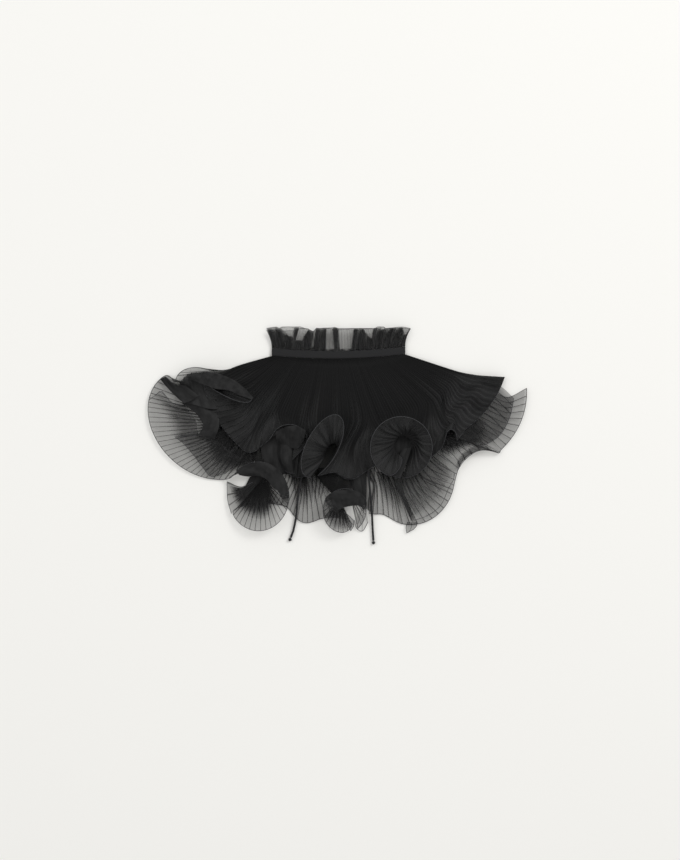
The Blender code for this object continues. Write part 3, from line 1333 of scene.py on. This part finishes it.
@dataclass
class Tie:
    """A narrow round cord from the back band, with a small knot at its end."""

    side: str
    route: tuple
    diameter: float = 2.9
    step: float = 6.0
    knot_radius: float = 2.3
    knot_length: float = 4.6
    groove: float = 0.16
    groove_slant: float = 1.6
    roundness: int = 3

    def line(self) -> list[Vector]:
        """Lay the tie's centre line.

        Returns:
            Points at about one step along a smooth curve through the route.
        """
        stops = [Vector(stop) for stop in self.route]
        padded = [stops[0] * 2.0 - stops[1]] + stops + [stops[-1] * 2.0 - stops[-2]]
        points = []
        for k in range(1, len(padded) - 2):
            before, start, end, after = padded[k - 1 : k + 3]
            count = max(1, round((end - start).length / self.step))
            points += [
                smooth_point(start, end, (end - before) * 0.5, (after - start) * 0.5, n / count)
                for n in range(count)
            ]
        return points + [stops[-1]]

    def knot(self, points: list[Vector], cord: bpy.types.Material) -> bpy.types.Object:
        """Make the knot: a small ball of two crossed turns of the cord.

        Args:
            points: the tie's centre line.
            cord: its finish.

        Returns:
            The knot.
        """
        along = (points[-1] - points[-2]).normalized()
        centre = points[-1] + along * (SEAM_GAP + self.knot_length / 2.0)
        turn = along.to_track_quat("Z", "Y").to_matrix().to_4x4()
        ball = bmesh.new()
        bmesh.ops.create_uvsphere(ball, u_segments=20, v_segments=14, radius=1.0)
        for vert in ball.verts:
            angle = math.atan2(vert.co.y, vert.co.x)
            turned = angle + vert.co.z * self.groove_slant
            narrowed = 1.0 - self.groove * abs(math.sin(turned)) ** 4
            vert.co.x *= self.knot_radius * narrowed
            vert.co.y *= self.knot_radius * narrowed
            vert.co.z *= self.knot_length / 2.0
        bmesh.ops.transform(ball, matrix=Matrix.Translation(centre) @ turn, verts=ball.verts)
        bmesh.ops.scale(ball, vec=(MM, MM, MM), verts=ball.verts)
        name = f"knot_{self.side}"
        return place_piece(ball, f"{name}_turns", cord, Slot.CORD, name)

    def build(self, cord: bpy.types.Material) -> None:
        """Make the tie and its knot.

        Args:
            cord: their finish.
        """
        points = self.line()
        name = f"tie_{self.side}_cord"
        piece = round_curve(name, points, self.diameter / 2.0, self.roundness, cord)
        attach(piece, "root")
        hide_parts(f"tie_{self.side}")
        knot = self.knot(points, cord)


# The hem of each layer, bend by bend from its left end.
FRONT_HEM = (
    Bend("tongue", 9, 2, (-146, 56), (38, 12), -28, (172, -145),
         (10, 24, 11), (-164, 60, 11), 0.42, 0.72, 8),
    Bend("diagonal", 8, 1, (-37, 89), (144, 144), 0, (201, 229),
         (5, 4, 6), (-44, 76, 5), 0.7, 1, 0),
    Bend("corner", 3, 2, (-116, -16), (14, 14), 0, (235, 335), (9, 12, 9), (-107, 6, 8), 0.6, 1, 0),
    Bend("flap", 6, 2, (-64, -12), (24, 20), 0, (175, -25),
         (10, 24, 13), (-66, -8, 10), 0.35, 0.5, 4),
    Bend("hanging fold", 3, 2, (-54, -46), (18, 17), 0, (205, 305),
         (6, 6, 7), (-50, -14, 5), 0.4, 1, 0),
    Bend("cup", 15, 3, (-21, -21), (46, 21), 62, (200, -146),
         (15, 31, 12), (-11, -30, 14), 0.3, 0.72, 7),
    Bend("fold", 3, 2, (15, -49), (17, 17), 0, (205, 325), (8, 7, 8), (18, -18, 7), 0.4, 1, 0),
    Bend("spiral", 20, 3, (82, -23), (41, 41), 0, (289, -90),
         (10, 33, 8), (85, -19, 13), 0.28, 0.6, 7, 0.27),
    Bend("small flute", 3, 2, (148, -8), (9, 12), 0, (225, -40),
         (7, 15, 7), (146, 2, 8), 0.5, 0.5, 3),
    Bend("right edge", 11, 0, (95, 110), (130, 130), 0, (304, 342),
         (6, 5, 6), (91, 102, 6), 0.74, 1, 0),
)
BACK_LEFT_HEM = (
    Bend("shoulder scallop", 4, 2, (-188, 64), (27, 19), 0, (62, 190),
         (8, 9, 8), (-160, 72, 3), 0.4, 1, 0),
    Bend("left lobe", 10, 3, (-178, 8), (83, 63), 135, (-12, 146),
         (0, 4, 0), (-138, 10, 0), 0.38, 1, 0),
    Bend("arch flute", 14, 5, (-105, -87), (41, 46), 0, (145, -150),
         (16, 22, 6), (-108, -62, 9), 0.25, 0.6, 7),
    Bend("sheer scallop", 3, 2, (-42, -98), (22, 26), 0, (195, 315),
         (0, 1, 0), (-42, -66, 0), 0.4, 1, 0),
    Bend("middle flute", 13, 0, (8, -106), (29, 30), 0, (308, -54),
         (7, 22, 4), (8, -88, 8), 0.3, 0.65, 5, 0.72),
)
BACK_RIGHT_HEM = (
    Bend("slit hem", 3, 1, (50, -70), (41, 41), 0, (256, 282), (0, 1, 0), (50, -52, 0), 0.5, 1, 0),
    Bend("broad lobe", 10, 2, (95, -62), (58, 63), 0, (250, 350),
         (0, 2, 3), (80, -50, 0), 0.5, 1, 0),
    Bend("side fold", 6, 2, (192, -60), (36, 34), 0, (150, 58),
         (5, 10, 6), (170, -38, 3), 0.6, 1, 2),
    Bend("right lobe", 9, 0, (146, 50), (102, 102), 0, (312, 363),
         (1, 4, 3), (155, 40, 0), 0.66, 1, 0),
)
# The line where each layer's pleats leave its flat part, from left to right.
FRONT_WAIST = (
    (-135, 84), (-118, 48), (-85, 22), (-45, 12), (0, 10), (45, 14), (90, 22), (130, 38), (158, 77),
)
BACK_LEFT_WAIST = ((-138, 82), (-150, 45), (-132, 2), (-95, -28), (-50, -44), (0, -54), (23, -52))
BACK_RIGHT_WAIST = ((30, -52), (65, -40), (100, -26), (128, -5), (145, 30), (155, 76))
# The centre line of each tie, from the band to its free end.
TIE_ROUTES = {
    "left": (
        (-14, 97, 3.0), (-18, 70, 3.6), (-26, 30, 3.6), (-36, -15, 3.6), (-46, -50, 3.6),
        (-53, -85, 3.6), (-56, -115, 3.6), (-60, -134, 2.8), (-63, -142, 2.6),
    ),
    "right": (
        (12, 97, 3.0), (15, 70, 3.6), (22, 30, 3.6), (30, -15, 3.8), (38, -50, 4.6),
        (42, -85, 4.8), (44, -110, 4.8), (45, -130, 3.0), (46, -146, 2.6),
    ),
}


# The loose folds of each layer, in the order in which they lie on each other.
LEFT_FOLDS = (
    LooseFold("lobe_return", 1, 1.2, (
        ((-203, 33, 3), (-212, 34, 4), (-222, 38, 4), (-233, 51, 4), (-242, 45, 3), (-249, 40, 3)),
        ((-196, 24, 3), (-205, 25, 5), (-214, 27, 5), (-223, 32, 4), (-231, 34, 4), (-238, 34, 3)),
        ((-188, 12, 3), (-196, 13, 5), (-205, 14, 5), (-213, 16, 4), (-220, 17, 4), (-227, 18, 3)),
        ((-184, -6, 3), (-192, -8, 4), (-199, -9, 4), (-206, -9, 4), (-212, -9, 3), (-219, -8, 3)),
    ), hemmed=(Side.FIRST_RIB,), over=True, fade=Fade(hem=0.6)),
    LooseFold("lobe_crescent", 2, 6.0, (
        ((-206, 35, 5), (-199, 39, 8), (-192, 41, 5)),
        ((-190, 24, 5), (-181, 32, 9), (-171, 34, 5)),
        ((-181, 13, 5), (-170, 18, 10), (-159, 19, 6)),
        ((-179, 4, 5), (-168, 5, 10), (-157, 6, 6)),
        ((-183, -4, 5), (-173, -5, 8), (-162, -8, 5)),
        ((-190, -8, 4), (-181, -13, 6), (-170, -17, 4)),
    ), over=True, fade=Fade(last=0.2)),
    LooseFold("lobe_second_layer", 3, 1.2, (
        ((-186, -7, 4), (-201, -8, 3), (-215, -9, 3)),
        ((-165, -12, 4), (-184, -16, 3), (-203, -19, 3)),
        ((-155, -18, 4), (-173, -28, 3), (-191, -33, 3)),
        ((-146, -25, 4), (-162, -39, 3), (-179, -49, 3)),
        ((-136, -32, 4), (-152, -48, 3), (-168, -61, 3)),
        ((-126, -36, 4), (-138, -48, 3), (-148, -57, 3)),
    ), hemmed=(Side.FIRST_RIB, Side.HEM), over=True),
    LooseFold("lobe_gather", 4, 6.0, (
        ((-154, 16, 0), (-164, 2, 0), (-175, -13, 0)),
        ((-142, 5, 0), (-157, -14, 0), (-172, -32, 0)),
        ((-130, -8, 0), (-145, -28, 0), (-162, -49, 0)),
        ((-120, -18, 0), (-132, -38, 0), (-145, -58, 0)),
        ((-106, -26, 0), (-112, -42, 0), (-119, -56, 0)),
    ), fade=Fade(hem=0.7, first=0.15)),
    LooseFold("shoulder_fill", 4, 6.0, (
        ((-213, 58, 3), (-207, 48, 4), (-202, 36, 3)),
        ((-198, 74, 3), (-196, 56, 4), (-189, 33, 3)),
        ((-181, 76, 3), (-178, 56, 4), (-171, 28, 3)),
        ((-164, 76, 3), (-162, 58, 4), (-156, 28, 3)),
        ((-150, 72, 3), (-148, 56, 4), (-144, 34, 3)),
    ), over=True, fade=Fade(gathered=0.12, first=0.1)),
    LooseFold("shoulder_valley", 1, 6.0, (
        ((-235, 67, 3), (-225, 55, 4), (-213, 43, 4), (-203, 35, 4)),
        ((-231, 69, 3), (-220, 59, 5), (-207, 51, 6), (-192, 39, 5)),
        ((-227, 70, 3), (-215, 60, 4), (-201, 58, 6), (-184, 45, 5)),
    ), over=True),
    LooseFold("arch_tip", 1, 1.0, (
        ((-108, -73, 4), (-124, -92, 5), (-141, -110, 7)),
        ((-110, -71, 3), (-128, -83, 4), (-146, -92, 5)),
        ((-113, -69, 3), (-129, -75, 4), (-147, -68, 4)),
    ), hemmed=(Side.HEM, Side.LAST_RIB)),
    LooseFold("arch_floor", 4, 6.0, (
        ((-117, -62, 3), (-126, -76, 3), (-144, -73, 4)),
        ((-115, -61, 2), (-123, -81, 3), (-138, -93, 4)),
        ((-111, -59, 2), (-116, -83, 3), (-126, -109, 4)),
        ((-105, -58, 2), (-106, -83, 3), (-110, -117, 5)),
        ((-98, -57, 2), (-96, -82, 3), (-94, -116, 5)),
        ((-90, -58, 2), (-87, -78, 3), (-82, -102, 4)),
    ), fade=Fade(hem=0.45, last=0.2)),
    LooseFold("arch_ridge", 3, 6.0, (
        ((-130, -59, 12), (-132, -56, 15), (-134, -53, 16)),
        ((-119, -61, 13), (-121, -53, 19), (-122, -46, 20)),
        ((-104, -60, 14), (-104, -51, 21), (-103, -42, 22)),
        ((-93, -66, 14), (-90, -56, 22), (-87, -46, 23)),
        ((-86, -75, 14), (-81, -65, 22), (-75, -56, 23)),
        ((-79, -80, 14), (-73, -75, 21), (-67, -70, 23)),
        ((-75, -88, 13), (-70, -87, 19), (-65, -86, 22)),
        ((-73, -96, 12), (-70, -97, 17), (-67, -98, 20)),
    ), over=True, fade=Fade(last=0.25)),
    LooseFold("middle_gather", 2, 6.0, (
        ((8, -50, 3), (16, -72, 3), (25, -92, 3)),
        ((24, -46, 3), (29, -70, 3), (33, -98, 2)),
        ((37, -46, 2), (37, -75, 2), (37, -105, 2)),
    )),
    LooseFold("scallop_gather", 4, 2.5, (
        ((-68, -50, 0), (-65, -68, 0), (-61, -96, 0)),
        ((-52, -50, 0), (-50, -70, 0), (-48, -104, 0)),
        ((-34, -50, 0), (-34, -70, 0), (-35, -104, 0)),
        ((-14, -50, 0), (-18, -70, 0), (-24, -98, 0)),
        ((2, -52, 0), (-3, -72, 0), (-12, -92, 0)),
    ), fade=Fade(hem=0.85, first=0.1, last=0.1)),
    LooseFold("slit_veil", 1, 1.0, (
        ((36, -50, 2), (37, -75, 2), (37, -104, 2)),
        ((48, -50, 2), (47, -75, 2), (43, -109, 2)),
    )),
    LooseFold("middle_dome", 3, 6.0, (
        ((-6, -112, 12), (-13, -106, 14), (-20, -99, 16)),
        ((-1, -106, 13), (-8, -97, 19), (-16, -87, 21)),
        ((6, -102, 14), (1, -91, 21), (-4, -80, 23)),
        ((15, -100, 14), (14, -88, 21), (12, -78, 22)),
        ((25, -99, 13), (26, -89, 18), (27, -81, 19)),
        ((31, -103, 11), (34, -97, 14), (36, -91, 15)),
        ((34, -112, 9), (36, -108, 10), (38, -104, 11)),
    ), over=True, fade=Fade(first=0.3, last=0.3)),
    LooseFold("middle_fan", 3, 0.9, (
        ((-6, -100, 0), (-14, -110, 0), (-23, -119, 0)),
        ((-2, -102, 0), (-8, -118, 0), (-12, -133, 0)),
        ((2, -104, 0), (3, -120, 0), (4, -137, 0)),
        ((6, -104, 0), (11, -117, 0), (17, -131, 0)),
    ), fade=Fade(hem=0.5)),
    LooseFold("middle_left_lobe", 1, 1.0, (
        ((1, -106, 8), (9, -109, 7), (20, -119, 6)),
        ((1, -108, 8), (11, -117, 6), (20, -126, 5)),
        ((1, -110, 8), (9, -122, 6), (16, -133, 4)),
    ), hemmed=(Side.FIRST_RIB, Side.HEM)),
    LooseFold("middle_right_lobe", 1, 0.3, (
        ((30, -99, 5), (27, -109, 4), (21, -119, 3)),
        ((32, -100, 5), (29, -114, 3), (24, -130, 2)),
        ((34, -100, 5), (33, -116, 3), (32, -133, 2)),
        ((36, -99, 5), (38, -112, 3), (39, -121, 2)),
    ), hemmed=(Side.HEM,)),
)
RIGHT_FOLDS = (
    LooseFold("broad_gather", 6, 2.0, (
        ((46, -54, 0), (49, -76, 0), (52, -104, 0)),
        ((64, -56, 0), (70, -82, 0), (76, -115, 0)),
        ((84, -56, 0), (94, -80, 0), (106, -108, 0)),
        ((100, -48, 0), (113, -66, 0), (128, -88, 0)),
        ((112, -32, 0), (128, -46, 0), (148, -62, 0)),
        ((120, -12, 0), (136, -26, 0), (158, -42, 0)),
        ((136, 2, 0), (150, -10, 0), (170, -24, 0)),
    ), fade=Fade(hem=0.85, first=0.1, last=0.2)),
    LooseFold("broad_second_layer", 4, 0.6, (
        ((84, -92, 4), (92, -106, 4), (99, -119, 3)),
        ((93, -80, 4), (103, -97, 4), (112, -115, 3)),
        ((103, -72, 4), (114, -89, 4), (125, -108, 3)),
        ((112, -66, 4), (125, -80, 4), (136, -97, 3)),
        ((120, -60, 4), (133, -68, 4), (145, -77, 4)),
        ((124, -50, 4), (138, -57, 4), (151, -66, 4)),
        ((124, -38, 4), (139, -46, 4), (153, -56, 4)),
    ), hemmed=(Side.HEM,), over=True, fade=Fade(gathered=0.4, hem=0.4)),
    LooseFold("broad_crease", 1, 2.5, (
        ((68, -62, 5), (82, -92, 5), (95, -121, 3)),
        ((74, -62, 6), (86, -91, 6), (98, -121, 4)),
        ((80, -62, 5), (90, -90, 5), (102, -120, 3)),
    ), over=True, fade=Fade(gathered=0.1, hem=0.1, first=0.45, last=0.45)),
    LooseFold("side_gather", 5, 5.0, (
        ((116, 4, 0), (124, -14, 0), (132, -34, 0)),
        ((134, 6, 0), (142, -12, 0), (151, -34, 0)),
        ((150, 8, 0), (159, -9, 0), (168, -26, 0)),
        ((166, 14, 0), (177, -3, 0), (188, -20, 0)),
        ((184, 28, 0), (196, 10, 0), (208, -10, 0)),
    ), fade=Fade(hem=0.5, first=0.1, last=0.3)),
    LooseFold("side_roll", 2, 2.0, (
        ((151, -49, 3), (153, -54, 4), (155, -57, 3)),
        ((163, -29, 3), (165, -34, 4), (167, -39, 3)),
        ((181, -19, 3), (184, -23, 4), (187, -27, 3)),
        ((202, -18, 3), (209, -25, 4), (216, -31, 3)),
    ), over=True, fade=Fade(gathered=0.45, first=0.15, last=0.3)),
    LooseFold("hem_curl", 1, 1.0, (
        ((91, -121, 3), (89, -129, 4), (90, -136, 3)),
        ((97, -122, 4), (96, -129, 6), (93, -134, 4)),
        ((103, -121, 3), (103, -126, 4), (99, -131, 3)),
    ), hemmed=(Side.FIRST_RIB, Side.HEM, Side.LAST_RIB)),
    LooseFold("side_second_layer", 3, 1.3, (
        ((203, 62, 4), (216, 56, 4), (231, 42, 4)),
        ((196, 42, 4), (210, 34, 5), (226, 18, 4)),
        ((184, 20, 4), (199, 10, 5), (214, -5, 5)),
        ((170, 2, 5), (184, -6, 6), (198, -17, 5)),
        ((158, -10, 5), (170, -15, 6), (184, -22, 5)),
    ), hemmed=(Side.HEM,), over=True),
)
FRONT_FOLDS = (
    LooseFold("tongue_leaf", 5, 8.0, (
        ((-195, 67, 14), (-194, 72, 16), (-191, 75, 13)),
        ((-178, 60, 16), (-175, 69, 19), (-171, 76, 14)),
        ((-161, 54, 17), (-157, 64, 20), (-153, 72, 15)),
        ((-144, 52, 17), (-140, 60, 20), (-136, 65, 16)),
        ((-128, 45, 17), (-124, 50, 19), (-121, 53, 16)),
        ((-114, 40, 15), (-112, 41, 16), (-111, 42, 15)),
    ), over=True),
    LooseFold("spiral_floor", 2, 8.0, (
        ((66, 2, 5), (68, -18, 5), (72, -44, 5)),
        ((86, 4, 5), (86, -18, 5), (86, -46, 5)),
        ((106, 0, 5), (104, -18, 5), (102, -42, 5)),
    )),
    LooseFold("under_flap", 2, 8.0, (
        ((-104, -3, 3), (-102, -28, 3), (-100, -54, 3)),
        ((-82, 0, 3), (-81, -28, 3), (-79, -57, 3)),
        ((-60, -8, 3), (-60, -33, 3), (-60, -59, 3)),
    )),
    LooseFold("flap_face", 4, 8.0, (
        ((-80, -16, 9), (-82, -10, 14), (-82, -2, 17)),
        ((-66, -22, 9), (-67, -8, 17), (-66, 5, 22)),
        ((-54, -24, 9), (-54, -9, 17), (-53, 5, 20)),
        ((-46, -15, 9), (-44, -8, 13), (-42, -1, 14)),
    ), over=True),
    LooseFold("hanging_roll", 4, 8.0, (
        ((-80, -18, 4), (-80, -35, 4), (-74, -50, 4)),
        ((-72, -19, 9), (-72, -38, 10), (-68, -55, 9)),
        ((-62, -20, 9), (-62, -38, 10), (-60, -57, 9)),
        ((-57, -21, 4), (-56, -38, 4), (-54, -57, 4)),
    ), hemmed=(Side.HEM,)),
    LooseFold("spiral_underlap", 2, 6.0, (
        ((96, -22, 12), (90, -42, 10), (82, -63, 9)),
        ((91, -24, 10), (82, -43, 9), (71, -60, 8)),
        ((85, -24, 9), (74, -40, 8), (62, -52, 8)),
    ), hemmed=(Side.HEM,)),
)


@dataclass
class Cape:
    """The cape: one front layer over a back layer that is slit at the middle."""

    back_opening: float = 0.494
    layers: list[CapeLayer] = field(init=False)

    def __post_init__(self) -> None:
        """Lay out the three pieces of the cape."""
        front = CapeLayer(
            "cape_front_pleats",
            bends=FRONT_HEM,
            waist=FRONT_WAIST,
            neck_from=0.0,
            neck_to=1.0,
            lift=front_lift,
            nodes=("cape_front",),
            waves=3.6,
            waves_from=0.62,
            least_layers=8.0,
            folds=FRONT_FOLDS,
        )
        back_left = CapeLayer(
            "cape_back_left_pleats",
            bends=BACK_LEFT_HEM,
            waist=BACK_LEFT_WAIST,
            neck_from=0.0,
            neck_to=self.back_opening,
            lift=back_lift,
            nodes=("cape_back_left",),
            folds=LEFT_FOLDS,
        )
        back_right = CapeLayer(
            "cape_back_right_pleats",
            bends=BACK_RIGHT_HEM,
            waist=BACK_RIGHT_WAIST,
            neck_from=1.0 - self.back_opening,
            neck_to=1.0,
            lift=back_lift,
            nodes=("cape_back_right",),
            folds=RIGHT_FOLDS,
        )
        self.layers = [front, back_left, back_right]

    def build(self, organza: bpy.types.Material, edge: bpy.types.Material) -> None:
        """Make the cape's layers and their hems.

        Args:
            organza: the layers' finish.
            edge: the finish of the hems.
        """
        for layer in self.layers:
            layer.build(organza, edge)


@dataclass(frozen=True)
class SoftLight:
    """A soft square light that faces the collar: place and side in metres, power in watts."""

    name: str
    place: tuple[float, float, float]
    side: float
    power: float

    def build(self) -> None:
        """Hang the light."""
        data = bpy.data.lights.new(self.name, "AREA")
        data.size = self.side
        data.energy = self.power
        lamp = bpy.data.objects.new(self.name, data)
        lamp.location = self.place
        lamp.rotation_mode = "QUATERNION"
        lamp.rotation_quaternion = (-Vector(self.place)).to_track_quat("-Z", "Y")
        bpy.context.scene.collection.objects.link(lamp)


@dataclass
class Studio:
    """A pale surface, soft light from the upper right and a camera straight above."""

    lens_mm: float = 80.0
    sensor_mm: float = 36.0
    frame_height_mm: float = 1135.2
    centre_x_mm: float = 1.98
    floor_colour: str = "F6F5F1"
    floor_roughness: float = 0.9
    floor_specular: float = 0.1
    floor_half_m: float = 3.0
    floor_drop_mm: float = 0.3
    room_light: float = 0.605
    lights: tuple[SoftLight, ...] = (
        SoftLight("key", (2.4, 1.95, 3.3), side=1.8, power=77.0),
        SoftLight("fill", (-1.5, 0.8, 2.6), side=2.6, power=18.5),
    )

    def camera(self) -> None:
        """Put the camera over the middle of the photograph's frame."""
        data = bpy.data.cameras.new("camera")
        data.lens = self.lens_mm
        data.sensor_width = self.sensor_mm
        height = self.frame_height_mm * MM * self.lens_mm / data.sensor_width
        seen = bpy.data.objects.new("camera", data)
        seen.location = (self.centre_x_mm * MM, 0.0, height)
        bpy.context.scene.collection.objects.link(seen)
        bpy.context.scene.camera = seen

    def surface(self) -> None:
        """Make the pale paper-like surface."""
        made = bpy.data.materials.new("pale_surface")
        made.use_nodes = True
        tree = made.node_tree
        shader = tree.nodes["Principled BSDF"]
        shader.inputs["Base Color"].default_value = srgb(self.floor_colour)
        shader.inputs["Roughness"].default_value = self.floor_roughness
        shader.inputs["Specular IOR Level"].default_value = self.floor_specular
        sheet = bmesh.new()
        bmesh.ops.create_grid(sheet, x_segments=2, y_segments=2, size=self.floor_half_m)
        drop = (0.0, 0.0, -self.floor_drop_mm * MM)
        bmesh.ops.translate(sheet, vec=drop, verts=sheet.verts)
        data = bpy.data.meshes.new("pale_surface")
        sheet.to_mesh(data)
        sheet.free()
        data.materials.append(made)
        floor = bpy.data.objects.new("pale_surface", data)
        bpy.context.scene.collection.objects.link(floor)

    def build(self) -> None:
        """Make the camera, the surface and the lights, with a plain tone curve."""
        bpy.context.scene.view_settings.view_transform = "Standard"
        self.camera()
        self.surface()
        for light in self.lights:
            light.build()
        world = bpy.data.worlds.new("room")
        world.use_nodes = True
        background = world.node_tree.nodes["Background"]
        background.inputs["Color"].default_value = (1.0, 1.0, 1.0, 1.0)
        background.inputs["Strength"].default_value = self.room_light
        bpy.context.scene.world = world


def main() -> None:
    """Build the scene: camera and cords first, then cloth."""
    logging.basicConfig(level=logging.INFO)
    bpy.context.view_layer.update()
    Studio().build()
    cord = TIE_CORD.material()
    for side, route in TIE_ROUTES.items():
        Tie(side, route).build(cord)
    organza = Organza().material()
    edge = ROLLED_ORGANZA.material()
    band = BAND_CLOTH.material()
    Cape().build(organza, edge)
    NeckBand("band_front", front_lift).build(band)
    NeckBand("band_back", back_lift).build(band)
    front = NeckFrill("frill_front", front_lift, spread=2.9, phase=1.3, edge_line=FRILL_FRONT_EDGE)
    back = NeckFrill("frill_back", back_lift, spread=0.0, phase=0.0, edge_line=FRILL_BACK_EDGE)
    for frill in (front, back):
        frill.build(organza, edge)


if __name__ == "__main__":
    main()
